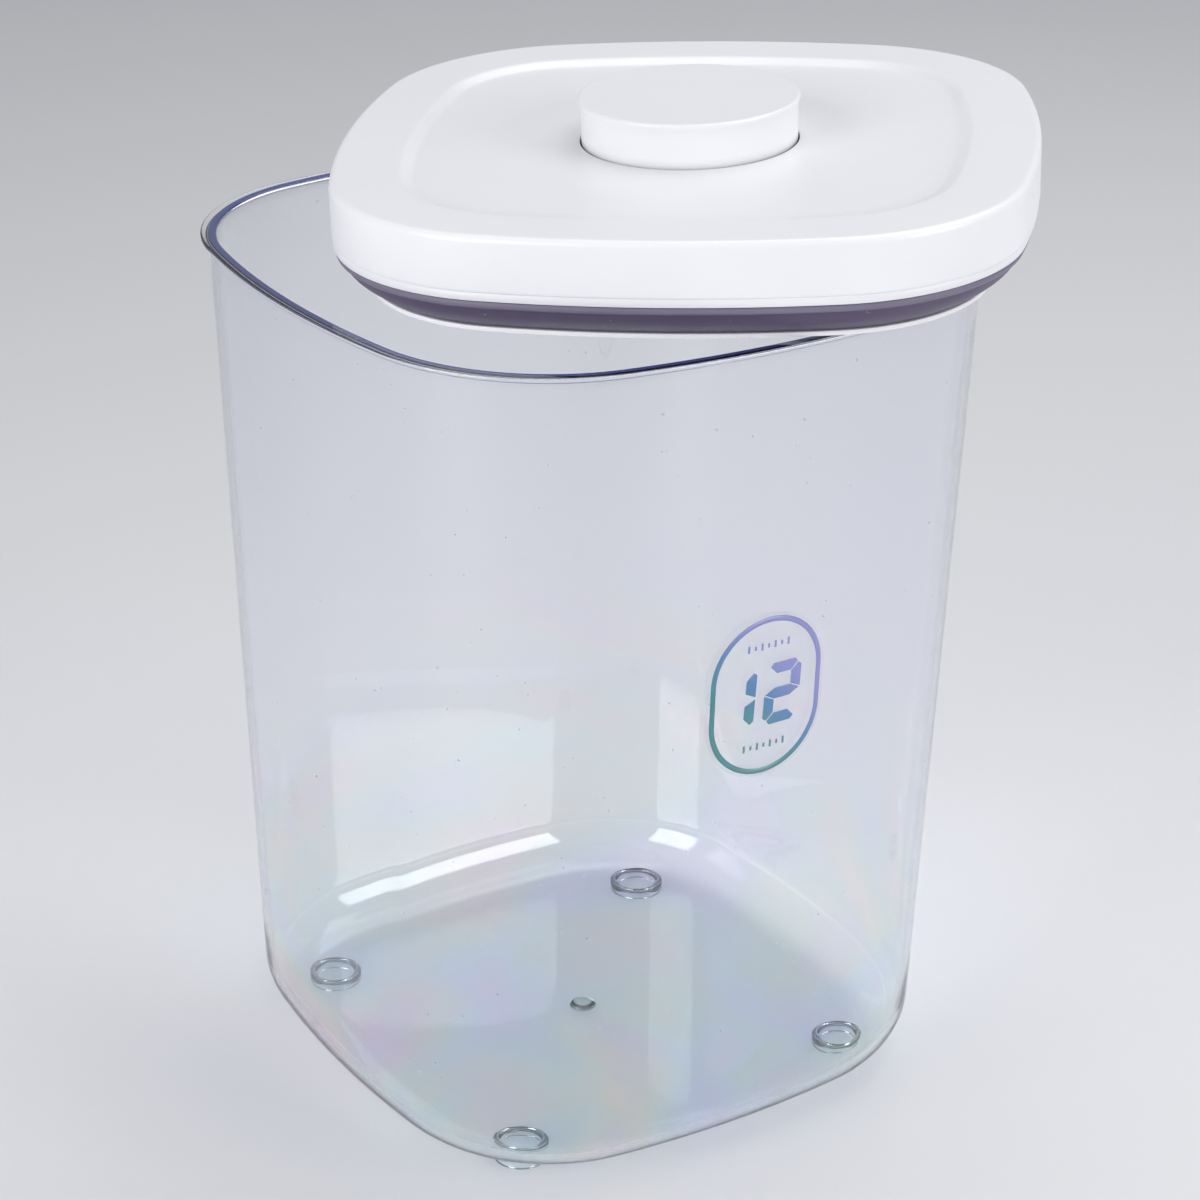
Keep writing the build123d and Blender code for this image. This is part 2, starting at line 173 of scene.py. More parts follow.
def lathe_rings(profile: np.ndarray, steps: int, centre: Pair = (0.0, 0.0)) -> np.ndarray:
    """A profile turned round an upright line.

    Args:
        profile: rows (radius, height).
        steps: how many points a ring has.
        centre: the line's place (x, y).

    Returns:
        An array of ring, point and (x, y, z): centre plus radius times (cosine, sine), at the height.
    """
    around = unit_circle(full_turn(steps))
    return np.stack([at_height(radius * around + np.array(centre), height) for radius, height in profile])


def point_outwards(mesh: bpy.types.Mesh) -> None:
    """Turns a closed mesh so that its faces point outwards.

    Args:
        mesh: the mesh. The sum of a . (b x c) over its triangles is six times its volume, and is below
            zero when the faces point inwards.
    """
    corners = np.empty(len(mesh.vertices) * 3)
    mesh.vertices.foreach_get("co", corners)
    mesh.calc_loop_triangles()
    triangles = np.empty(len(mesh.loop_triangles) * 3, dtype=int)
    mesh.loop_triangles.foreach_get("vertices", triangles)
    a, b, c = (corners.reshape(-1, 3)[triangles.reshape(-1, 3)[:, side]] for side in range(3))
    if np.einsum("ij,ij->i", a, np.cross(b, c)).sum() < 0:
        mesh.flip_normals()


def ring_mesh(name: str, rings: np.ndarray, closed: bool) -> bpy.types.Object:
    """A smooth closed mesh through rings of points, placed in metres with its object at the origin.

    Args:
        name: the piece's name.
        rings: an array of ring, point and (x, y, z), in millimetres.
        closed: True joins the last ring to the first; False closes each end with a fan on its middle.

    Returns:
        The mesh object. Each face joins two neighbouring points of one ring to the same two of the next.
    """
    count, around = rings.shape[:2]
    vertices = rings.reshape(-1, 3)
    here = np.arange(around)
    there = (here + 1) % around
    lower = np.arange(count if closed else count - 1)[:, None] * around
    upper = (lower + around) % (count * around)
    corners = [lower + here, lower + there, upper + there, upper + here]
    faces = np.stack(corners, axis=2).reshape(-1, 4).tolist()
    if not closed:
        vertices = np.concatenate([vertices, rings[0].mean(axis=0)[None], rings[-1].mean(axis=0)[None]])
        first, last = count * around, count * around + 1
        start = (count - 1) * around
        faces += np.stack([there, here, np.full(around, first)], axis=1).tolist()
        faces += np.stack([start + here, start + there, np.full(around, last)], axis=1).tolist()
    mesh = bpy.data.meshes.new(name)
    mesh.from_pydata((vertices * METRES).tolist(), [], faces)
    mesh.validate()
    mesh.polygons.foreach_set("use_smooth", np.ones(len(mesh.polygons), dtype=bool))
    mesh.update()
    point_outwards(mesh)
    piece = bpy.data.objects.new(name, mesh)
    bpy.context.scene.collection.objects.link(piece)
    return piece


# Shader trees and shared effects


def colour(red: float, green: float, blue: float) -> Colour:
    """An opaque colour for a shader socket."""
    return (red, green, blue, 1.0)


@dataclass
class ShaderTree:
    """Short ways to add nodes to a shader tree."""

    tree: bpy.types.NodeTree

    def feed(self, node: Node, inputs: Inputs) -> None:
        """Gives a node's inputs what they take.

        Args:
            node: the node.
            inputs: for each input's name or number a socket, which is linked, or else a constant.
        """
        for name, value in inputs.items():
            if isinstance(value, Socket):
                self.tree.links.new(value, node.inputs[name])
            else:
                node.inputs[name].default_value = value

    def node(self, kind: str, inputs: Inputs | None = None, **settings: object) -> Node:
        """Adds a node to the tree.

        Args:
            kind: the node's type name.
            inputs: sockets and constants for its inputs.
            settings: properties to set on it.

        Returns:
            The new node.
        """
        node = self.tree.nodes.new(kind)
        for name, value in settings.items():
            setattr(node, name, value)
        self.feed(node, inputs or {})
        return node

    def object_place(self) -> Socket:
        """The place of a point in metres, which doesn't move with the camera."""
        return self.node("ShaderNodeTexCoord").outputs["Object"]

    def noise(self, place: Socket, scale: object, detail: float = 2.0, distortion: float = 0.0) -> Socket:
        """A noise from 0 to 1 over a place."""
        inputs = {"Vector": place, "Scale": scale, "Detail": detail, "Distortion": distortion}
        return self.node("ShaderNodeTexNoise", inputs).outputs["Fac"]

    def maths(self, operation: str, first: object, second: object, use_clamp: bool = False) -> Socket:
        """The result of an operation on two values."""
        inputs = {0: first, 1: second}
        return self.node("ShaderNodeMath", inputs, operation=operation, use_clamp=use_clamp).outputs[0]


class EffectGroup(ShaderTree):
    """A shader node group that is built once and placed in each material that uses it."""

    def __init__(self, name: str, inputs: dict[str, float], outputs: dict[str, str]) -> None:
        """Makes the group with nothing between its ends.

        Args:
            name: the group's name.
            inputs: the usual value of each input, by name.
            outputs: the socket type of each output, by name.
        """
        super().__init__(bpy.data.node_groups.new(name, "ShaderNodeTree"))
        for label, value in inputs.items():
            socket = self.tree.interface.new_socket(label, in_out="INPUT", socket_type="NodeSocketFloat")
            socket.default_value = value
        for label, kind in outputs.items():
            self.tree.interface.new_socket(label, in_out="OUTPUT", socket_type=kind)
        self.start = self.node("NodeGroupInput")
        self.end = self.node("NodeGroupOutput")

    def given(self, name: str) -> Socket:
        """The value that a material gives to one of the group's inputs."""
        return self.start.outputs[name]


def moulded_grain_group() -> EffectGroup:
    """Fine moulding grain: a broad cloudy mask, and a fine noise that dents the surface.

    Returns:
        The group.
    """
    group = EffectGroup("moulded_grain", {"Scale": 900.0, "Depth": 0.05, "Distance": 0.0002},
                        {"Mask": "NodeSocketFloat", "Normal": "NodeSocketVector"})
    place = group.object_place()
    cloud_scale, cloud_detail = 14.0, 3.0
    cloud = group.noise(place, cloud_scale, cloud_detail)
    fine = group.noise(place, group.given("Scale"))
    bump = group.node("ShaderNodeBump", {
        "Height": fine, "Strength": group.given("Depth"), "Distance": group.given("Distance")})
    group.feed(group.end, {"Mask": cloud, "Normal": bump.outputs["Normal"]})
    return group


def fine_dust_group() -> EffectGroup:
    """Sparse specks of dust: a mask that rises to 1 only at the rare peaks of a fine noise.

    Returns:
        The group.
    """
    group = EffectGroup("fine_dust", {"Scale": 300.0, "Peak": 0.76}, {"Mask": "NodeSocketFloat"})
    fine = group.noise(group.object_place(), group.given("Scale"), 0.0)
    above = group.maths("SUBTRACT", fine, group.given("Peak"))
    steepness = 25.0
    group.feed(group.end, {"Mask": group.maths("MULTIPLY", above, steepness, use_clamp=True)})
    return group


@dataclass
class Effects:
    """The shared effects that materials draw on."""

    grain: EffectGroup = field(default_factory=moulded_grain_group)
    dust: EffectGroup = field(default_factory=fine_dust_group)


class MaterialTree(ShaderTree):
    """A material under construction, with one Principled shader."""

    def __init__(self, name: str, effects: Effects) -> None:
        """Starts the material.

        Args:
            name: the material's name.
            effects: the shared effects that it may use.
        """
        self.material = bpy.data.materials.new(name)
        self.material.use_nodes = True
        super().__init__(self.material.node_tree)
        self.tree.nodes.clear()
        self.effects = effects
        self.shader = self.node("ShaderNodeBsdfPrincipled")
        self.output = self.node("ShaderNodeOutputMaterial", {"Surface": self.shader.outputs["BSDF"]})

    def grain(self, scale: float, depth: float) -> Node:
        """Places the shared moulding grain."""
        inputs = {"Scale": scale, "Depth": depth}
        return self.node("ShaderNodeGroup", inputs, node_tree=self.effects.grain.tree)

    def dust(self, scale: float, peak: float) -> Socket:
        """Places the shared dust and gives its mask."""
        inputs = {"Scale": scale, "Peak": peak}
        return self.node("ShaderNodeGroup", inputs, node_tree=self.effects.dust.tree).outputs["Mask"]

    def span(self, source: Socket, low: float, high: float, start: float = 0.0, end: float = 1.0) -> Socket:
        """Maps start..end to low..high along a smooth step, which leaves no crease at its ends."""
        inputs = {"Value": source, "From Min": start, "From Max": end, "To Min": low, "To Max": high}
        return self.node("ShaderNodeMapRange", inputs, interpolation_type="SMOOTHSTEP").outputs["Result"]

    def blend(self, mask: Socket, first: object, second: object) -> Socket:
        """Mixes two colours by a mask. Each is a colour or a socket that gives one."""
        return self.node("ShaderNodeMix", {"Factor": mask, 6: first, 7: second}, data_type="RGBA").outputs[2]

    def ramp(self, value: Socket, stops: Sequence[tuple[float, Colour]]) -> Socket:
        """A colour that runs through stops as a value rises.

        Args:
            value: the value, from 0 to 1.
            stops: each stop's place and colour, in rising order.

        Returns:
            The colour.
        """
        node = self.node("ShaderNodeValToRGB", {"Fac": value})
        while len(node.color_ramp.elements) < len(stops):
            node.color_ramp.elements.new(0.5)
        for element, (place, shade) in zip(node.color_ramp.elements, stops):
            element.position = place
            element.color = shade
        return node.outputs["Color"]

    def surface(self, grain: Node, tone: Socket, rough: Pair, between: Pair = GRAIN_MIDDLE,
                **others: object) -> None:
        """Gives the shader a grained surface.

        Args:
            grain: the placed grain, which dents the surface.
            tone: the surface's colour.
            rough: the roughness at the low and the high end of the grain's mask.
            between: the values of the mask that count as its ends.
            others: more inputs of the shader, with spaces in their names written as underscores.
        """
        inputs = {"Base Color": tone, "Roughness": self.span(grain.outputs["Mask"], *rough, *between),
                  "Normal": grain.outputs["Normal"]}
        self.feed(self.shader, inputs | {name.replace("_", " "): value for name, value in others.items()})


# Finishes


@dataclass(frozen=True)
class Finish:
    """A finish: its name, and the nodes that each kind of finish fills its material with."""

    name: str

    def fill(self, tree: MaterialTree) -> None:
        """Fills the material with the finish's own nodes."""
        raise NotImplementedError

    def make(self, effects: Effects) -> bpy.types.Material:
        """Builds the material.

        Args:
            effects: the shared effects that it may use.

        Returns:
            The material.
        """
        tree = MaterialTree(self.name, effects)
        self.fill(tree)
        return tree.material


@dataclass(frozen=True)
class MouldedPlastic(Finish):
    """Satin injection-moulded plastic with fine grain and a slightly cloudy tone."""

    base: Colour
    shade: Colour
    rough: Pair = (0.29, 0.38)
    between: Pair = (0.2, 0.8)
    grain_scale: float = 700.0
    grain_depth: float = 0.06
    refraction: float = 1.49

    def fill(self, tree: MaterialTree) -> None:
        """Clouds the tone and the roughness by the grain's mask.

        Args:
            tree: the material under construction.
        """
        grain = tree.grain(self.grain_scale, self.grain_depth)
        tone = tree.blend(tree.span(grain.outputs["Mask"], 0.0, 1.0, *self.between), self.base, self.shade)
        tree.surface(grain, tone, self.rough, self.between, IOR=self.refraction)


@dataclass(frozen=True)
class Silicone(Finish):
    """Soft matte silicone with a moulding grain, a cloudy tone, a little dust and a faint sheen."""

    base: Colour
    shade: Colour
    dust_tone: Colour = colour(0.35, 0.34, 0.38)
    rough: Pair = (0.38, 0.52)
    refraction: float = 1.37
    sheen: float = 0.05
    scatter: float = 0.08
    scatter_depth: float = 0.003

    def fill(self, tree: MaterialTree) -> None:
        """Clouds the tone by the grain's mask and lays dust on it.

        Args:
            tree: the material under construction.
        """
        grain = tree.grain(scale=700.0, depth=0.25)
        tone = tree.blend(grain.outputs["Mask"], self.base, self.shade)
        dusty = tree.blend(tree.dust(scale=620.0, peak=0.84), tone, self.dust_tone)
        tree.surface(grain, dusty, self.rough, IOR=self.refraction, Sheen_Weight=self.sheen,
                     Subsurface_Weight=self.scatter, Subsurface_Scale=self.scatter_depth)


@dataclass(frozen=True)
class ClearPlastic(Finish):
    """Crystal-clear moulded plastic: a faint violet body, stress colours low down, dust and soft ripples."""

    tint: Colour = colour(0.985, 0.985, 1.0)
    transmission: float = 1.0
    refraction: float = 1.52
    depth_tint: Colour = colour(0.28, 0.38, 0.92)
    depth_density: float = 12.0
    rough_clean: float = 0.015
    rough_dusty: float = 0.45
    dust_tone: Colour = colour(0.8, 0.8, 0.82)
    stress_bottom: float = 0.02
    stress_height: float = 0.16
    stress_scale: Point = (7.0, 7.0, 11.0)
    stress_swirl: float = 1.2
    stress_bands: tuple[tuple[float, Colour], ...] = (
        (0.30, colour(1.0, 0.92, 0.98)), (0.40, colour(0.91, 0.95, 1.0)), (0.48, colour(0.92, 0.99, 0.95)),
        (0.56, colour(1.0, 0.98, 0.91)), (0.64, colour(1.0, 0.92, 0.94)), (0.72, colour(0.94, 0.92, 1.0)))
    shadow_tint: Colour = colour(0.96, 0.965, 0.98)
    shadow_share: float = 0.85

    def stress_colours(self, tree: MaterialTree) -> Socket:
        """Pale rainbow patches that fade out above the stress height.

        Args:
            tree: the material under construction.

        Returns:
            The tint with the patches.
        """
        place = tree.object_place()
        stretch = tree.node("ShaderNodeMapping", {"Vector": place, "Scale": self.stress_scale})
        marbled = tree.noise(stretch.outputs["Vector"], 1.0, distortion=self.stress_swirl)
        patches = tree.ramp(marbled, self.stress_bands)
        height = tree.node("ShaderNodeSeparateXYZ", {"Vector": place}).outputs["Z"]
        low_down = tree.span(height, 1.0, 0.0, self.stress_bottom, self.stress_height)
        return tree.blend(low_down, self.tint, patches)

    def let_light_through(self, tree: MaterialTree) -> Socket:
        """A share of every shadow ray that passes straight through, so that the walls cast pale shadows.

        Args:
            tree: the material under construction.

        Returns:
            The surface, mixed with clear passage for those rays.
        """
        ray = tree.node("ShaderNodeLightPath").outputs["Is Shadow Ray"]
        passage = tree.node("ShaderNodeBsdfTransparent", {"Color": self.shadow_tint})
        inputs = {"Fac": tree.maths("MULTIPLY", ray, self.shadow_share),
                  1: tree.shader.outputs["BSDF"], 2: passage.outputs["BSDF"]}
        return tree.node("ShaderNodeMixShader", inputs).outputs["Shader"]

    def fill(self, tree: MaterialTree) -> None:
        """Tints the body by its depth, and gives the surface its patches, dust and ripples.

        Args:
            tree: the material under construction.
        """
        dust = tree.dust(scale=480.0, peak=0.87)
        ripple = tree.noise(tree.object_place(), scale=16.0)
        bump = tree.node("ShaderNodeBump", {"Height": ripple, "Strength": 0.05, "Distance": 0.001})
        tree.feed(tree.shader, {
            "Base Color": tree.blend(dust, self.stress_colours(tree), self.dust_tone),
            "Roughness": tree.span(dust, self.rough_clean, self.rough_dusty),
            "Normal": bump.outputs["Normal"],
            "Transmission Weight": self.transmission,
            "IOR": self.refraction})
        body = {"Color": self.depth_tint, "Density": self.depth_density}
        absorb = tree.node("ShaderNodeVolumeAbsorption", body)
        tree.feed(tree.output, {"Surface": self.let_light_through(tree), "Volume": absorb.outputs["Volume"]})


@dataclass(frozen=True)
class ClearFilm(Finish):
    """The label's thin clear film: almost see-through, a little cloudy, with its own soft gloss."""

    base: Colour = colour(0.62, 0.66, 0.72)
    shade: Colour = colour(0.7, 0.72, 0.76)
    rough: Pair = (0.1, 0.18)
    cover: Pair = (0.05, 0.11)

    def fill(self, tree: MaterialTree) -> None:
        """Clouds the tone and the film's cover by the grain's mask.

        Args:
            tree: the material under construction.
        """
        grain = tree.grain(scale=1800.0, depth=0.1)
        mask = grain.outputs["Mask"]
        tree.surface(grain, tree.blend(mask, self.base, self.shade), self.rough,
                     Alpha=tree.span(mask, *self.cover, *GRAIN_MIDDLE))


@dataclass(frozen=True)
class PrintedInk(Finish):
    """Label ink whose colour runs from teal at the lower left to lavender at the upper right."""

    centre: Point
    stops: tuple[tuple[float, Colour], ...] = (
        (0.1, colour(0.03, 0.21, 0.22)), (0.5, colour(0.07, 0.2, 0.42)), (0.9, colour(0.24, 0.25, 0.56)))
    reach: float = 0.06
    worn_tone: Colour = colour(0.75, 0.8, 0.86)
    worn_share: float = 0.12
    rough: Pair = (0.29, 0.37)
    coat: float = 0.4

    def fill(self, tree: MaterialTree) -> None:
        """Runs the colour along the sum of across and up, and wears it by the grain's mask.

        Args:
            tree: the material under construction.
        """
        inputs = {"Vector": tree.object_place(), "Location": tuple(-value for value in self.centre)}
        centred = tree.node("ShaderNodeMapping", inputs).outputs["Vector"]
        axes = tree.node("ShaderNodeSeparateXYZ", {"Vector": centred})
        total = tree.maths("ADD", axes.outputs["X"], axes.outputs["Z"])
        run = tree.ramp(tree.span(total, 0.0, 1.0, -self.reach / 2, self.reach / 2), self.stops)
        grain = tree.grain(scale=2500.0, depth=0.15)
        wear = tree.span(grain.outputs["Mask"], 0.0, self.worn_share, *GRAIN_MIDDLE)
        tree.surface(grain, tree.blend(wear, run, self.worn_tone), self.rough, Coat_Weight=self.coat)


@dataclass(frozen=True)
class DrawnSteel(Finish):
    """Bright steel wire with fine drawing marks."""

    base: Colour = colour(0.62, 0.62, 0.64)
    shade: Colour = colour(0.5, 0.5, 0.53)
    rough: Pair = (0.29, 0.4)

    def fill(self, tree: MaterialTree) -> None:
        """Clouds the tone and the roughness by the grain's mask.

        Args:
            tree: the material under construction.
        """
        grain = tree.grain(scale=3000.0, depth=0.3)
        tone = tree.blend(grain.outputs["Mask"], self.base, self.shade)
        tree.surface(grain, tone, self.rough, Metallic=1.0)


@dataclass(frozen=True)
class StudioPaper(Finish):
    """The plain pale floor."""

    tone: Colour = colour(0.7, 0.705, 0.72)
    rough: float = 0.6

    def fill(self, tree: MaterialTree) -> None:
        """Gives the paper its tone and its roughness.

        Args:
            tree: the material under construction.
        """
        tree.feed(tree.shader, {"Base Color": self.tone, "Roughness": self.rough})


@dataclass
class Finishes:
    """Every finish of the container, built once."""

    label_centre: Point
    effects: Effects = field(default_factory=Effects)

    def __post_init__(self) -> None:
        """Builds the materials."""
        white, cloud = colour(0.83, 0.83, 0.85), colour(0.79, 0.79, 0.815)
        band, inner, inner_cloud = colour(0.76, 0.76, 0.785), colour(0.7, 0.7, 0.71), colour(0.62, 0.62, 0.64)
        gasket, gasket_cloud = colour(0.078, 0.057, 0.112), colour(0.1, 0.076, 0.142)
        # lip and lip_cloud: a paler silicone for the gasket's bead, a painted highlight along its upper edge
        lip, lip_cloud = colour(0.16, 0.143, 0.203), colour(0.2, 0.182, 0.25)
        edge_tint = colour(0.10, 0.135, 0.42)
        effects = self.effects
        self.clear = ClearPlastic("clear_plastic").make(effects)
        self.cover = MouldedPlastic("cover_white", white, cloud).make(effects)
        self.band = MouldedPlastic("band_white", band, cloud).make(effects)
        self.button = MouldedPlastic("button_white", white, cloud, (0.285, 0.345)).make(effects)
        self.plate = MouldedPlastic("plate_white", white, cloud, (0.3, 0.4)).make(effects)
        self.inner = MouldedPlastic("inner_white", inner, inner_cloud, (0.35, 0.5)).make(effects)
        self.gasket = Silicone("gasket_silicone", gasket, gasket_cloud).make(effects)
        self.gasket_bead_painted_highlight = Silicone("gasket_bead_painted_highlight", lip, lip_cloud).make(effects)
        self.steel = DrawnSteel("drawn_steel").make(effects)
        self.film = ClearFilm("label_film").make(effects)
        self.rim_edge = ClearPlastic("clear_plastic_edge", tint=edge_tint, transmission=0.5).make(effects)
        self.ink = PrintedInk("label_ink", self.label_centre).make(effects)
        self.floor = StudioPaper("studio_floor").make(effects)


def dress(piece: bpy.types.Object, material: bpy.types.Material, body: Body) -> None:
    """Gives a new piece its material and its body.

    Args:
        piece: the new piece.
        material: its finish.
        body: the body that it moves with.
    """
    piece.data.materials.append(material)
    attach(piece, body.value)
    log.info("%s rides on %s", piece.name, body.value)


def tone_faces(piece: bpy.types.Object, chosen: np.ndarray, material: bpy.types.Material) -> None:
    """Gives the chosen faces of a piece a second material."""
    piece.data.materials.append(material)
    piece.data.polygons.foreach_set("material_index", chosen.astype(np.int32))


# Tub


@dataclass
class Tub:
    """The clear tub: leaning walls, a rolled base edge, a flat rim flange, ring feet and the gate mark."""

    finishes: Finishes
    base: RoundedSquare = RoundedSquare(107.0, 390.0, 66.0)
    top: RoundedSquare = RoundedSquare(117.55, 342.0, 68.0)
    rim: RoundedSquare = RoundedSquare(120.0, 342.0, 68.0)
    height: float = 305.3
    floor_thickness: float = 3.0
    wall: float = 2.6
    wall_rings: int = 22
    base_edge: float = 21.0
    base_edge_gap: float = 3.0
    base_edge_rings: int = 14
    floor_shares: tuple[float, ...] = (0.03, 0.1, 0.25, 0.45, 0.7, 0.9, 0.985)
    flange: float = 1.5
    flange_round: float = 0.55
    flange_fillet: float = 1.1
    inner_round: float = 0.7
    inner_step: float = 1.2
    foot_height: float = 3.0
    foot_spacing: float = 137.0
    foot_outer: float = 9.8
    foot_inner: float = 7.3
    foot_root: float = 1.5
    foot_round: float = 0.6
    gate_radius: float = 5.0
    gate_height: float = 1.2
    gate_root: float = 0.1
    lathe_steps: int = 72

    def wall_ring(self, height: float, offset: float, first: float | None = None) -> np.ndarray:
        """One ring of a wall.

        Args:
            height: its height.
            offset: how far outside the outer wall it lies; negative is inside.
            first: the height where the wall's straight lines start, by default the outer base.

        Returns:
            The base outline's points moved in a straight line towards the top outline's by the share of
            the height, then along the outline's outward direction by the offset.
        """
        first = self.foot_height if first is None else first
        share = (height - first) / (self.height - first)
        flat = (1 - share) * self.base.points() + share * self.top.points()
        out = unit((1 - share) * self.base.directions() + share * self.top.directions())
        return at_height(flat + offset * out, height)

    def flange_ring(self, share: float, height: float) -> np.ndarray:
        """A ring of the flange, a share of the way from the outer wall to the flange's edge."""
        return at_height((1 - share) * self.top.points() + share * self.rim.points(), height)

    def base_rings(self, edge: float, bottom: float, offset: float) -> list[np.ndarray]:
        """Rings from a floor's middle out and up its rolled edge.

        Args:
            edge: the edge's radius.
            bottom: the floor's height.
            offset: the wall's offset from the outer wall.

        Returns:
            Rings of the flat floor, which are its outline drawn smaller towards the middle, then rings whose
            inset is the radius less its sine and whose rise is the radius less its cosine.
        """
        outline = self.wall_ring(bottom, offset - edge, bottom)
        flat = [outline * np.array([share, share, 1.0]) for share in self.floor_shares]
        angles = np.radians(np.linspace(0, 90, self.base_edge_rings))
        rolled = [self.wall_ring(bottom + edge * (1 - math.cos(angle)), offset - edge * (1 - math.sin(angle)),
                                 bottom) for angle in angles]
        return flat + rolled

    def rim_rings(self) -> list[np.ndarray]:
        """The rings over the rim.

        Returns:
            Rings of the fillet under the flange, its rounded edge, the flat top and the rounded inner edge.
        """
        overhang = self.rim.half_width - self.top.half_width
        under = self.height - self.flange
        fillet, soft, inner = self.flange_fillet, self.flange_round, self.inner_round
        edge = np.concatenate([
            arc_profile((fillet, under - fillet), fillet, 180, 90, 5),
            arc_profile((overhang - soft, under + soft), soft, -90, 0, 5),
            arc_profile((overhang - soft, self.height - soft), soft, 0, 90, 5)])
        step = [(-self.inner_step, self.height),
                *arc_profile((inner - self.wall, self.height - inner), inner, 90, 180, 6)]
        outside = [self.flange_ring(across / overhang, up) for across, up in edge]
        top = [self.flange_ring(share, self.height) for share in (0.5, 0.0)]
        return outside + top + [self.wall_ring(up, across) for across, up in step]

    def build_shell(self) -> None:
        """The whole wall as one closed surface: up the outer side, over the rim and down the inner side."""
        inner_bottom = self.foot_height + self.floor_thickness
        inner_edge = self.base_edge - self.wall
        outer_low = self.foot_height + self.base_edge + self.base_edge_gap
        inner_low = inner_bottom + inner_edge + self.base_edge_gap
        rim_gap_outside, rim_gap_inside = 5.0, 2.5
        up = np.linspace(outer_low, self.height - rim_gap_outside, self.wall_rings)
        down = np.linspace(self.height - rim_gap_inside, inner_low, self.wall_rings)
        rings = self.base_rings(self.base_edge, self.foot_height, 0.0)
        rings += [self.wall_ring(height, 0.0) for height in up] + self.rim_rings()
        rings += [self.wall_ring(height, -self.wall) for height in down]
        rings += self.base_rings(inner_edge, inner_bottom, -self.wall)[::-1]
        shell = ring_mesh("tub_shell", np.stack(rings), closed=False)
        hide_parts("tub")
        dress(shell, self.finishes.clear, Body.TUB)
        self.tint_rim(shell)

    def tint_rim(self, shell: bpy.types.Object) -> None:
        """Gives the rim's flat inner half the deeper edge colour that long paths through the wall show.

        Args:
            shell: the tub's shell. Its tinted faces are those near the rim's height whose middles lie inside
                the outer wall's outline, found by their distance from the axis at their angle.
        """
        depth, border = 0.5, 0.2
        middles = np.empty(len(shell.data.polygons) * 3)
        shell.data.polygons.foreach_get("center", middles)
        x, y, z = middles.reshape(-1, 3).T / METRES
        limit = np.interp(np.arctan2(y, x), *self.polar(self.top.inset(border).points()))
        tone_faces(shell, (z > self.height - depth) & (np.hypot(x, y) < limit), self.finishes.rim_edge)

    def polar(self, ring: np.ndarray) -> tuple[np.ndarray, np.ndarray]:
        """A ring's points by angle.

        Args:
            ring: rows (x, y).

        Returns:
            The angles in rising order, with one turn more at each end, and the points' distances.
        """
        angles = np.arctan2(ring[:, 1], ring[:, 0])
        order = np.argsort(angles)
        turns = [angles[order] + turn * 2 * math.pi for turn in (-1, 0, 1)]
        return np.concatenate(turns), np.tile(np.hypot(ring[:, 0], ring[:, 1])[order], 3)

    def build_feet(self) -> None:
        """Four ring feet under the base: a closed profile with a rounded lower edge."""
        soft, reach = self.foot_round, self.foot_spacing / 2
        root = self.foot_height + self.foot_root
        profile = np.concatenate([
            [(self.foot_inner, root)],
            arc_profile((self.foot_inner + soft, soft), soft, 180, 270, 5),
            arc_profile((self.foot_outer - soft, soft), soft, 270, 360, 5),
            [(self.foot_outer, root)]])
        for number, (x, y) in enumerate([(-1, -1), (1, -1), (1, 1), (-1, 1)], start=1):
            rings = lathe_rings(profile, self.lathe_steps, (x * reach, y * reach))
            foot = ring_mesh(f"ring_foot_{number}", rings, closed=True)
            dress(foot, self.finishes.clear, Body.TUB)

    def build_gate(self) -> None:
        """The shallow lens that the moulding gate leaves under the middle of the base.

        Its drop is the gate's height times one less the square of the share of its radius.
        """
        middle_share = 0.08
        shares = np.linspace(1, middle_share, 9)
        drops = self.gate_height * (1 - shares ** 2)
        lens = np.stack([self.gate_radius * shares, self.foot_height - drops], axis=1)
        root = [(self.gate_radius * share, self.foot_height + self.gate_root) for share in (middle_share, 1)]
        rings = lathe_rings(np.concatenate([root, lens]), self.lathe_steps)
        gate = ring_mesh("gate_mark", rings, closed=False)
        dress(gate, self.finishes.clear, Body.TUB)

    def front_place(self, x: np.ndarray, height: np.ndarray, stand_off: float) -> np.ndarray:
        """Places points on the front wall.

        Args:
            x: places across the front.
            height: their heights.
            stand_off: how far they stand out from the wall.

        Returns:
            Points (x, y, z): the wall's curve is a straight blend of the base's and the top's side arcs,
            whose shared arc share is found from x by five steps of Newton's method.
        """
        share = (height - self.foot_height) / (self.height - self.foot_height)
        arcs = [(1 - share, self.base), (share, self.top)]
        spot = np.zeros_like(x)
        for _ in range(5):
            across = sum(part * arc.side_radius * np.sin(spot * arc.lean()) for part, arc in arcs)
            slope = sum(part * arc.side_radius * arc.lean() * np.cos(spot * arc.lean()) for part, arc in arcs)
            spot = spot - (across - x) / slope
        wall = sum(part * (arc.half_width - arc.side_radius + arc.side_radius * np.cos(spot * arc.lean()))
                   for part, arc in arcs)
        return np.stack([x, -(wall + stand_off), height], axis=-1)

    def build(self) -> None:
        """Builds every piece of the tub."""
        self.build_shell()
        self.build_feet()
        self.build_gate()


# Label


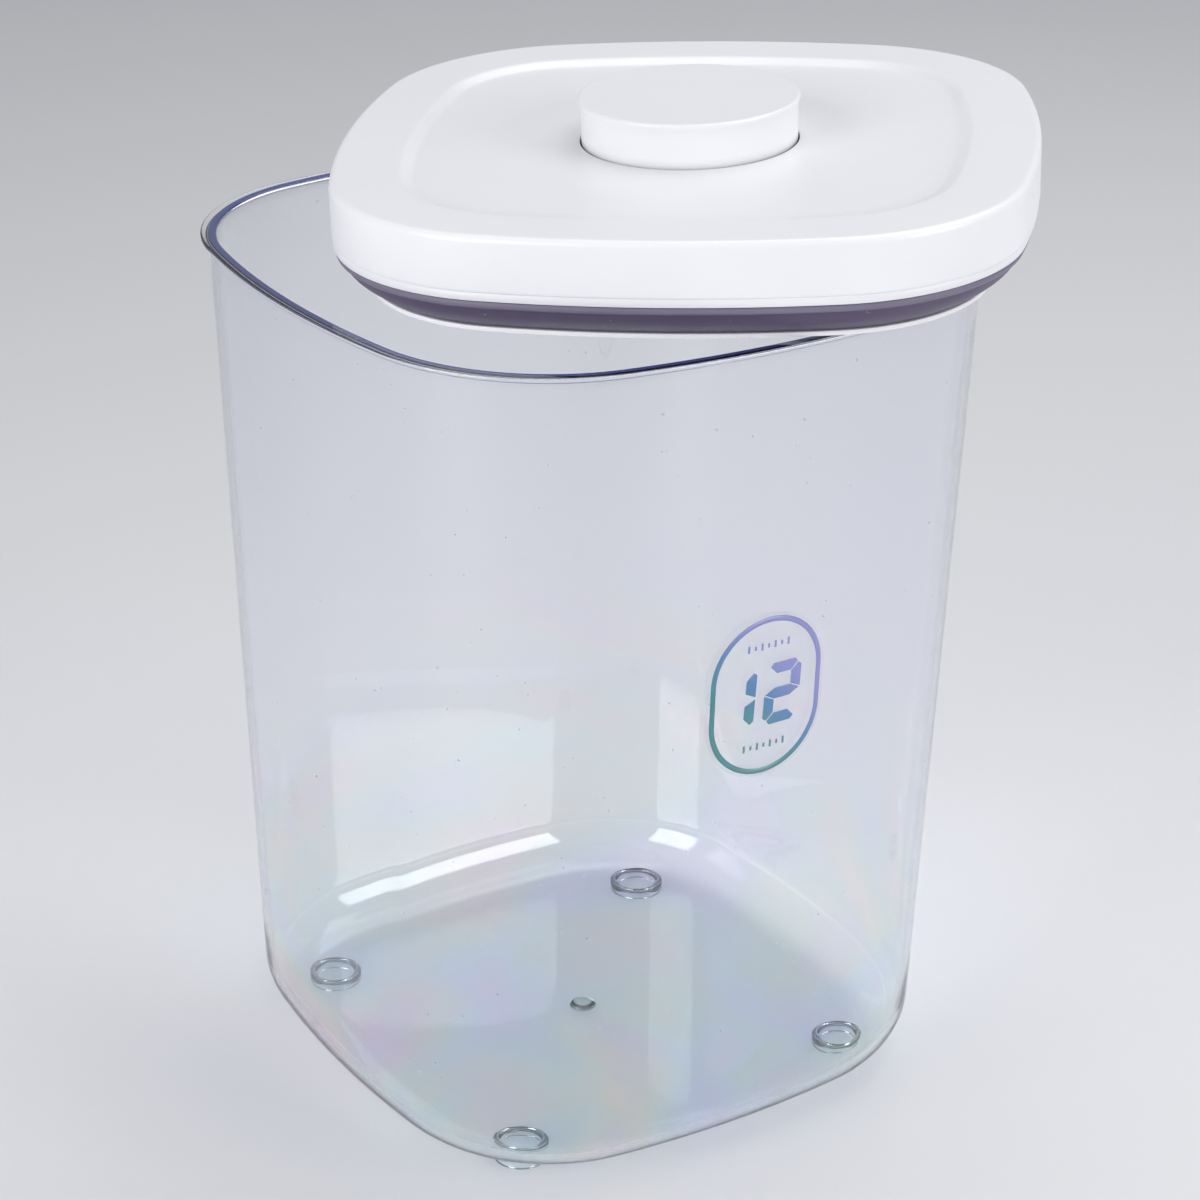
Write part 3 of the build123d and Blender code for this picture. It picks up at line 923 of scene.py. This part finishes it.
@dataclass
class Label:
    """The capsule label: a clear film, a printed ring, a plain two-figure number and rows of tick marks."""

    tub: Tub
    finishes: Finishes
    width: float = 46.0
    tall: float = 60.0
    centre_x: float = -1.8
    centre_height: float = 182.0
    film: float = 0.25
    film_gap: float = 0.1
    ink: float = 0.05
    ink_gap: float = 0.01
    ring_inset: float = 1.2
    ring_width: float = 1.9
    figure_width: float = 14.2
    figure_height: float = 22.5
    figure_gap: float = 3.6
    stroke: float = 4.0
    bar_gap: float = 0.35
    chamfer: float = 2.8
    slant: float = 0.04
    number: str = "12"
    tick_count: int = 7
    tick_rise: float = 18.4
    tick_pitch: float = 2.6
    tick_half_width: float = 0.4
    tick_talls: Pair = (2.6, 1.5)

    def __post_init__(self) -> None:
        """Works out how far the ink's back and face stand out from the wall."""
        self.ink_low = self.film_gap + self.film + self.ink_gap
        self.ink_high = self.ink_low + self.ink

    def capsule(self, inset: float, points: int = 160) -> np.ndarray:
        """A capsule outline about the label's middle.

        Args:
            inset: how far inside the film's edge it lies.
            points: how many points it has.

        Returns:
            Rows (x, z): a circle of the half width whose upper half is raised and lower half lowered by the
            capsule's straight half length.
        """
        radius = self.width / 2 - inset
        straight = (self.tall - self.width) / 2
        circle = unit_circle(full_turn(points) + math.pi / points)
        return radius * circle + np.sign(circle) * (0.0, straight)

    def on_wall(self, flat: np.ndarray, stand_off: float) -> np.ndarray:
        """Carries flat label points onto the tub's front wall."""
        x, height = flat[..., 0] + self.centre_x, flat[..., 1] + self.centre_height
        return self.tub.front_place(x, height, stand_off)

    def plate(self, name: str, outline: np.ndarray, low: float, high: float) -> bpy.types.Object:
        """A thin plate that follows the wall inside an outline.

        Args:
            name: the piece's name.
            outline: rows (x, z) about the label's middle.
            low: the stand-off of its back.
            high: the stand-off of its face.

        Returns:
            The mesh: rings of the outline drawn towards its own middle, on the back and then on the face.
        """
        middle = outline.mean(axis=0)
        drawn = [middle + (outline - middle) * share for share in (0.06, 0.3, 0.6, 0.9, 1.0)]
        rings = [self.on_wall(ring, low) for ring in drawn]
        rings += [self.on_wall(ring, high) for ring in drawn[::-1]]
        return ring_mesh(name, np.stack(rings), closed=False)

    def print_shape(self, name: str, outline: np.ndarray) -> None:
        """Prints one filled shape on the film."""
        piece = self.plate(name, outline, self.ink_low, self.ink_high)
        dress(piece, self.finishes.ink, Body.TUB)

    def build_film(self) -> None:
        """The clear film."""
        film = self.plate("label_film", self.capsule(0.0), self.film_gap, self.film_gap + self.film)
        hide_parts("label")
        dress(film, self.finishes.film, Body.TUB)

    def build_ring(self) -> None:
        """The printed ring just inside the film's edge."""
        outer, inner = self.capsule(self.ring_inset), self.capsule(self.ring_inset + self.ring_width)
        low, high = self.ink_low, self.ink_high
        corners = [(outer, low), (outer, high), (inner, high), (inner, low)]
        ring = ring_mesh("label_ring", np.stack([self.on_wall(*corner) for corner in corners]), closed=True)
        dress(ring, self.finishes.ink, Body.TUB)

    def figure_bars(self) -> dict[str, np.ndarray]:
        """The seven bars of a plain figure about its own middle.

        Returns:
            Outlines (x, z) by name. A side bar runs from a point at mid height to a mitre at the chamfered
            corner; the other three side bars and the foot bar are its and the head bar's mirror images.
        """
        wide, tall = self.figure_width / 2, self.figure_height / 2
        s, g, c = self.stroke, self.bar_gap, self.chamfer
        side = np.array([(wide - s, s / 2 + g), (wide, g), (wide, tall - c),
                         (wide - c / 2, tall - c / 2 - g), (wide - s, tall - s - g)])
        head = np.array([(c - wide, tall), (wide - c, tall), (wide - c / 2 - g, tall - c / 2),
                         (wide - s - g, tall - s), (s + g - wide, tall - s),
                         (c / 2 + g - wide, tall - c / 2)])
        centre = np.array([(g - wide, 0), (s - wide, s / 2), (wide - s, s / 2), (wide - g, 0),
                           (wide - s, -s / 2), (s - wide, -s / 2)])
        return {"upper_right": side, "lower_right": side * (1, -1), "upper_left": side * (-1, 1),
                "lower_left": side * (-1, -1), "top": head, "bottom": head * (1, -1), "centre": centre}

    def figure(self, digit: str) -> list[np.ndarray]:
        """The bars that one figure shows, leaning a little to the right.

        Args:
            digit: the figure, one of those in the label's number.

        Returns:
            Its bars' outlines.
        """
        shown = {"1": ["upper_right", "lower_right"],
                 "2": ["top", "upper_right", "centre", "lower_left", "bottom"]}[digit]
        bars = self.figure_bars()
        return [bars[name] + bars[name][:, 1:] * (self.slant, 0.0) for name in shown]

    def build_figures(self) -> None:
        """The number in the middle of the label."""
        pitch = self.figure_width + self.figure_gap
        start = -pitch * (len(self.number) - 1) / 2 - (self.figure_width - self.stroke) / 4
        for place, digit in enumerate(self.number):
            middle = np.array([start + place * pitch, 0.0])
            for bar, shape in enumerate(self.figure(digit), start=1):
                self.print_shape(f"label_figure_{place + 1}_bar_{bar}", middle + shape)

    def build_ticks(self) -> None:
        """Two short rows of tick marks, long and short by turns, one over and one under the number."""
        corners = np.array([(-1, -1), (1, -1), (1, 1), (-1, 1)])
        for row, height in enumerate([self.tick_rise, -self.tick_rise], start=1):
            for tick in range(self.tick_count):
                middle = ((tick - (self.tick_count - 1) / 2) * self.tick_pitch, height)
                half = (self.tick_half_width, self.tick_talls[tick % 2] / 2)
                self.print_shape(f"label_tick_{row}_{tick + 1}", middle + corners * half)

    def build(self) -> None:
        """Builds the film and everything printed on it."""
        self.build_film()
        self.build_ring()
        self.build_figures()
        self.build_ticks()


# Lid


@dataclass
class LidPlace:
    """Where the lid lies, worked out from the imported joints: its axis, its middle and its turn."""

    lever_height: float = 23.5

    def __post_init__(self) -> None:
        """Reads the button's line and the four lever pivots."""
        joints = {joint["name"]: joint for joint in frame["joints"]}
        up = -np.array(joints["button_press"]["axis"], dtype=float)
        pivots = np.array([joints[f"lever_{number}_pivot"]["pos_m"] for number in range(1, 5)]) / METRES
        middle = pivots.mean(axis=0)
        across = pivots[0] - middle
        across = across - up * (across @ up)
        across /= np.linalg.norm(across)
        x_axis = (across - np.cross(up, across)) / math.sqrt(2)
        self.axes = np.stack([x_axis, np.cross(up, x_axis), up])
        self.origin = middle - up * self.lever_height

    def place(self, local: np.ndarray) -> np.ndarray:
        """Carries points from the lid's own axes to the row's: origin plus each axis times its share."""
        return self.origin + local @ self.axes

    def metres(self, height: float) -> Point:
        """The point of the lid's axis at a height, in metres."""
        return tuple(float(value) * METRES for value in self.origin + height * self.axes[2])


@dataclass
class Lid:
    """The white lid: cover, band, gasket, plate edge and button, all on the lid's own axes."""

    finishes: Finishes
    place: LidPlace
    outline: RoundedSquare = RoundedSquare(118.3, 340.0, 68.6)
    bottom: float = 14.25
    band: float = 2.9
    top: float = 35.5
    wall: float = 2.4
    top_round: float = 2.2
    bottom_round: float = 0.35
    panel_half: float = 95.0
    panel_depth: float = 2.0
    panel_slope: float = 4.0
    panel_ease: float = 0.8
    hole_radius: float = 37.2
    hole_round: float = 0.5
    plate_half: float = 106.2
    plate_edge: float = 1.4
    plate_round: float = 0.45
    plate_lap: float = 6.0
    gasket_inner_half: float = 100.5
    gasket_foot_half: float = 105.6
    gasket_foot_rise: float = 0.2
    gasket_bulge: float = 1.7
    neck_drop: float = 3.1
    neck_inset: float = 2.4
    bead_centre: Pair = (2.35, 1.5)
    bead_radius: float = 1.45
    button_radius: float = 37.6
    button_rise: float = 13.2
    button_deep: float = 18.2
    button_hollow: float = 3.2
    button_top_thickness: float = 2.2
    button_round: float = 0.8
    button_steps: int = 192

    def rings(self, profile: Sequence[Sequence[float]]) -> list[np.ndarray]:
        """Rings parallel to the lid's outline, one for each (inset, height) of a profile."""
        return [at_height(self.outline.inset(inset).points(), height) for inset, height in profile]

    def round_ring(self, share: float, inset: float, radius: float, height: float) -> np.ndarray:
        """A ring between an outline and a circle.

        Args:
            share: how far it is on the way to the circle.
            inset: the outline's inset.
            radius: the circle's radius.
            height: the ring's height.

        Returns:
            The share's straight blend of the outline's points and the circle's, which lie at the same angles.
        """
        square = self.outline.inset(inset).points()
        return at_height((1 - share) * square + share * radius * unit(square), height)

    def loft(self, name: str, rings: Sequence[np.ndarray], closed: bool = True) -> bpy.types.Object:
        """A closed piece through rings on the lid's axes."""
        return ring_mesh(name, self.place.place(np.stack(rings)), closed)

    def cover_side(self, low: float, panel_inset: float) -> np.ndarray:
        """The cover's profile from its lower edge over its border to the foot of the soft step.

        Args:
            low: the lower edge's height.
            panel_inset: how far inside the outline the panel starts.

        Returns:
            Rows (inset, height). The step falls by the panel's depth times 3 s squared less 2 s cubed, where
            s is the share of its width. Rings close to the bends keep the shading of the flats even.
        """
        soft, shoulder = self.bottom_round, self.top - self.top_round
        steps = np.linspace(0, 1, 11)
        step = np.stack([panel_inset - self.panel_ease + (self.panel_slope + 2 * self.panel_ease) * steps,
                         self.top - self.panel_depth * (3 * steps ** 2 - 2 * steps ** 3)], axis=1)
        return np.concatenate([
            [(self.wall, low), (self.wall * 0.6, low)],
            arc_profile((soft, low + soft), soft, 270, 180, 4),
            [(0.0, height) for height in (low + 1.2, low + 6.0, shoulder - 4.0, shoulder - 0.8)],
            arc_profile((self.top_round, shoulder), self.top_round, 180, 90, 9),
            [(inset, self.top) for inset in (self.top_round + 0.8, self.top_round + 6, panel_inset - 3.0)],
            step])

    def build_cover(self) -> None:
        """The cover: rounded sides, soft step down to the panel, the button's hole and the hollow inside."""
        low = self.bottom + self.band
        panel = self.top - self.panel_depth
        under = panel - self.wall
        panel_inset = self.outline.half_width - self.panel_half
        foot = panel_inset + self.panel_slope + 2 * self.panel_ease
        hole, soft = self.hole_radius, self.hole_round
        rounded = arc_profile((hole + soft, panel - soft), soft, 90, 180, 5)
        rings = self.rings(self.cover_side(low, panel_inset))
        rings += [self.round_ring(share, foot, hole + 0.6, panel) for share in (0.08, 0.35, 0.65, 0.9, 0.985)]
        rings += [self.round_ring(1.0, foot, radius, height)
                  for radius, height in [*rounded, (hole, panel - 1.2), (hole, under)]]
        rings += [self.round_ring(share, foot, hole, under) for share in (0.98, 0.5, 0.02)]
        rings += self.rings([(self.wall + 1.0, under), (self.wall, under - 1.0), (self.wall, low + 4.0)])
        cover = self.loft("lid_cover", rings)
        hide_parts("top_cover")
        dress(cover, self.finishes.cover, Body.LID)

    def build_band(self) -> None:
        """The lower band, a hair inside the cover, with a shadow groove at its joint."""
        low, high = self.bottom - 0.06, self.bottom + self.band
        over_foot = [(3.4, 0.0), (1.0, 0.0), (0.5, 0.1), (0.3, 0.45)]
        under_joint = [(0.3, 0.55), (0.45, 0.35), (0.9, 0.3), (1.6, 0.3), (3.4, 0.3)]
        profile = [(inset, low + up) for inset, up in over_foot]
        profile += [(inset, high - down) for inset, down in under_joint]
        dress(self.loft("lid_band", self.rings(profile)), self.finishes.band, Body.LID)

    def build_gasket(self) -> None:
        """The gasket: a flank that bulges on its way up from the plate, then a rounded bead under the band.

        The flank's inset runs straight from its foot to its neck, less the bulge times the sine of half a
        turn's share.
        """
        inner = self.outline.half_width - self.gasket_inner_half
        start = self.outline.half_width - self.gasket_foot_half
        low, high = self.plate_edge + self.gasket_foot_rise, self.bottom - 0.05
        flank_low, neck = low + 0.3, self.bottom - self.neck_drop
        shares = np.linspace(0, 1, 14)
        bulge = self.gasket_bulge * np.sin(math.pi * shares)
        flank = np.stack([start + (self.neck_inset - start) * shares - bulge,
                          flank_low + (neck - flank_low) * shares], axis=1)
        bead_inset, bead_drop = self.bead_centre
        bead = arc_profile((bead_inset, self.bottom - bead_drop), self.bead_radius, 258, 100, 11)
        foot, head = [(inner, low), (start + 1.2, low)], [(4.0, high), (inner, high)]
        gasket = self.loft("gasket_ring", self.rings(np.concatenate([foot, flank, bead, head])))
        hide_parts("gasket")
        dress(gasket, self.finishes.gasket, Body.LID)
        # The bead's faces get the paler silicone, a painted highlight
        self.paint_bead_highlight(gasket, len(foot) + len(flank), len(bead))
        self.place.metres(self.bottom)
        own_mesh(gasket)

    def paint_bead_highlight(self, gasket: bpy.types.Object, first: int, count: int) -> None:
        """Gives the gasket's bead a paler silicone: a painted highlight where the bead catches the light.

        Args:
            gasket: the gasket, whose faces lie ring by ring.
            first: the bead's first ring.
            count: how many rings the bead has.
        """
        ring = np.arange(len(gasket.data.polygons)) // len(self.outline.points())
        tone_faces(gasket, (ring >= first) & (ring < first + count), self.finishes.gasket_bead_painted_highlight)

    def build_plate_edge(self) -> None:
        """The white edge of the pressure plate with its rounded rim, a hair proud of the solid."""
        proud, soft = 0.06, self.plate_round
        low, high = -proud, self.plate_edge + proud
        edge = self.outline.half_width - self.plate_half
        profile = np.concatenate([
            [(edge + self.plate_lap, low)],
            arc_profile((edge - proud + soft, low + soft), soft, 270, 180, 5),
            arc_profile((edge - proud + soft, high - soft), soft, 180, 90, 5),
            [(edge + self.plate_lap, high)]])
        dress(self.loft("plate_rim", self.rings(profile)), self.finishes.plate, Body.PLATE)

    def build_button(self) -> None:
        """The button: a flat top with a rounded lip over a side that draws in a little all the way down."""
        top, radius, soft = self.top + self.button_rise, self.button_radius, self.button_round
        hollow = radius - self.button_hollow
        middle = 2.0
        draw_in = np.array([(0.0, 1.3), (0.3, 2.2), (0.62, 3.4), (0.8, 5.0), (0.85, 12.0),
                            (0.9, self.button_deep)])
        profile = np.concatenate([
            [(across, top) for across in (middle, radius * 0.5, radius - 3.0, radius - 1.4)],
            arc_profile((radius - soft, top - soft), soft, 90, 0, 7),
            np.array([radius, top]) - draw_in,
            [(hollow, top - self.button_deep), (hollow, top - 2.4),
             (middle, top - self.button_top_thickness)]])
        button = self.loft("push_button", lathe_rings(profile, self.button_steps), closed=False)
        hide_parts("button")
        dress(button, self.finishes.button, Body.BUTTON)

    def build(self) -> None:
        """Builds every piece of the lid."""
        self.build_cover()
        self.build_band()
        self.build_gasket()
        self.build_plate_edge()
        self.build_button()


@dataclass
class ReturnSpring:
    """The wire spring under the button."""

    finishes: Finishes
    place: LidPlace
    low: float = 17.05
    high: float = 44.1
    radius: float = 16.4
    wire: float = 0.7
    seat: float = 0.8
    turns: int = 6
    steps: int = 600
    sides: int = 10
    ease: float = 0.35

    def build(self) -> None:
        """A wire round a helix whose first and last turns lie nearly flat.

        The wire's line is the coil's radius along (cosine, sine) of its angle; its height is the angle's
        share of the spring's length, partly drawn towards a smooth step. Each ring lies across that line.
        """
        low = self.low
        share = np.linspace(0, 1, self.steps)
        around = unit_circle(2 * math.pi * self.turns * share)
        smooth = share ** 2 * (3 - 2 * share)
        rise = low + (self.high - low) * ((1 - self.ease) * share + self.ease * smooth)
        line = np.column_stack([self.radius * around, rise])
        outward = at_height(around, 0.0)
        upward = np.cross(unit(np.gradient(line, axis=0)), outward)
        cosines, sines = unit_circle(full_turn(self.sides)).T[:, None, :, None]
        rings = line[:, None] + self.wire * (cosines * outward[:, None] + sines * upward[:, None])
        spring = ring_mesh("spring_coil", self.place.place(rings), closed=False)
        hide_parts("return_spring")
        dress(spring, self.finishes.steel, Body.LID)
        self.place.metres(low - self.seat)
        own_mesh(spring)


@dataclass
class Mechanism:
    """The inner pieces, which keep their solids and get their real finishes."""

    finishes: Finishes

    def dress_nodes(self) -> None:
        """Gives each carried-over piece its finish."""
        plastic = ["button_stem", "latch_blade"] + [f"lift_lever_{number}" for number in range(1, 5)]
        steel = ["stem_screw", "latch_pin", "lever_pins"]
        table = dict.fromkeys(plastic, self.finishes.inner) | dict.fromkeys(steel, self.finishes.steel)
        table |= {"lower_frame": self.finishes.band, "pressure_plate": self.finishes.plate}
        for name, material in table.items():
            for slot in frame["nodes"][name].material_slots:
                slot.material = material
            log.info("%s keeps its solid", name)


# Studio


@dataclass(frozen=True)
class SoftLight:
    """A soft rectangular light: its place and size in metres and its power in watts."""

    name: str
    place: Point
    size: Pair
    power: float

    def build(self, aim: Point) -> None:
        """Sets the light up.

        Args:
            aim: the point that it faces.
        """
        data = bpy.data.lights.new(self.name, "AREA")
        data.shape = "RECTANGLE"
        data.size, data.size_y = self.size
        data.energy = self.power
        light = bpy.data.objects.new(self.name, data)
        light.location = self.place
        light.rotation_euler = (Vector(aim) - Vector(self.place)).to_track_quat("-Z", "Y").to_euler()
        bpy.context.scene.collection.objects.link(light)


@dataclass
class Studio:
    """A plain pale floor, soft lights and the camera at the photograph's viewing angle."""

    finishes: Finishes
    camera_place: Point = (-0.5617, -0.8899, 0.6485)
    azimuth: float = -32.51
    elevation: float = 24.37
    roll: float = 0.69
    focal_pixels: float = 3238.0
    image_pixels: float = 1200.0
    sensor: float = 36.0
    clip: Pair = (0.05, 30.0)
    floor_half: float = 12.0
    floor_cells: int = 8
    light_aim: Point = (0.0, 0.0, 0.17)
    lights: tuple[SoftLight, ...] = (
        SoftLight("overhead_light", (0.7, 0.15, 1.6), (1.5, 1.4), 11.8),
        SoftLight("left_light", (-1.4, -0.3, 0.75), (0.85, 1.0), 14.4),
        SoftLight("front_right_light", (0.85, -1.45, 0.8), (0.9, 0.9), 14.0))
    surround_tone: Colour = colour(0.93, 0.95, 1.0)
    surround_strength: float = 0.42

    def build_floor(self) -> None:
        """The floor, a grid so that it is never one stretched face."""
        cells = self.floor_cells
        line = np.linspace(-self.floor_half, self.floor_half, cells + 1)
        x, y = np.meshgrid(line, line)
        vertices = at_height(np.stack([x.ravel(), y.ravel()], axis=1), 0.0)
        start = (np.arange(cells)[:, None] * (cells + 1) + np.arange(cells)[None, :]).ravel()
        faces = np.stack([start, start + 1, start + cells + 2, start + cells + 1], axis=1)
        mesh = bpy.data.meshes.new("studio_floor")
        mesh.from_pydata(vertices.tolist(), [], faces.tolist())
        mesh.update()
        floor = bpy.data.objects.new("studio_floor", mesh)
        bpy.context.scene.collection.objects.link(floor)
        floor.data.materials.append(self.finishes.floor)

    def build_lights(self) -> None:
        """One large light over the object, one at each front side, and a pale surround."""
        for light in self.lights:
            light.build(self.light_aim)
        world = bpy.data.worlds.new("studio_surround")
        world.use_nodes = True
        background = world.node_tree.nodes["Background"]
        background.inputs["Color"].default_value = self.surround_tone
        background.inputs["Strength"].default_value = self.surround_strength
        bpy.context.scene.world = world

    def build_camera(self) -> None:
        """The camera: its place, its direction by azimuth and elevation, its roll and its focal length."""
        data = bpy.data.cameras.new("studio_camera")
        data.sensor_width = self.sensor
        data.lens = self.focal_pixels / self.image_pixels * self.sensor
        data.clip_start, data.clip_end = self.clip
        angles = (self.azimuth, self.elevation, self.roll)
        azimuth, elevation, roll = (math.radians(angle) for angle in angles)
        back = Vector((math.sin(azimuth) * math.cos(elevation), -math.cos(azimuth) * math.cos(elevation),
                       math.sin(elevation)))
        right = Vector((math.cos(azimuth), math.sin(azimuth), 0.0))
        up = back.cross(right)
        across = right * math.cos(roll) + up * math.sin(roll)
        upright = up * math.cos(roll) - right * math.sin(roll)
        turn = Matrix((across, upright, back)).transposed()
        camera = bpy.data.objects.new("studio_camera", data)
        camera.matrix_world = Matrix.Translation(self.camera_place) @ turn.to_4x4()
        bpy.context.scene.collection.objects.link(camera)
        bpy.context.scene.camera = camera

    def build(self) -> None:
        """Builds the floor, the lights and the camera."""
        self.build_floor()
        self.build_lights()
        self.build_camera()
        bpy.context.scene.view_settings.view_transform = "Standard"


def main() -> None:
    """Builds the container's classes in order."""
    logging.basicConfig(level=logging.INFO, format="%(message)s")
    finishes = Finishes(label_centre=(-0.0018, -0.113, 0.182))
    tub = Tub(finishes)
    tub.build()
    Label(tub, finishes).build()
    place = LidPlace()
    Lid(finishes, place).build()
    ReturnSpring(finishes, place).build()
    Mechanism(finishes).dress_nodes()
    Studio(finishes).build()


if __name__ == "__main__":
    main()
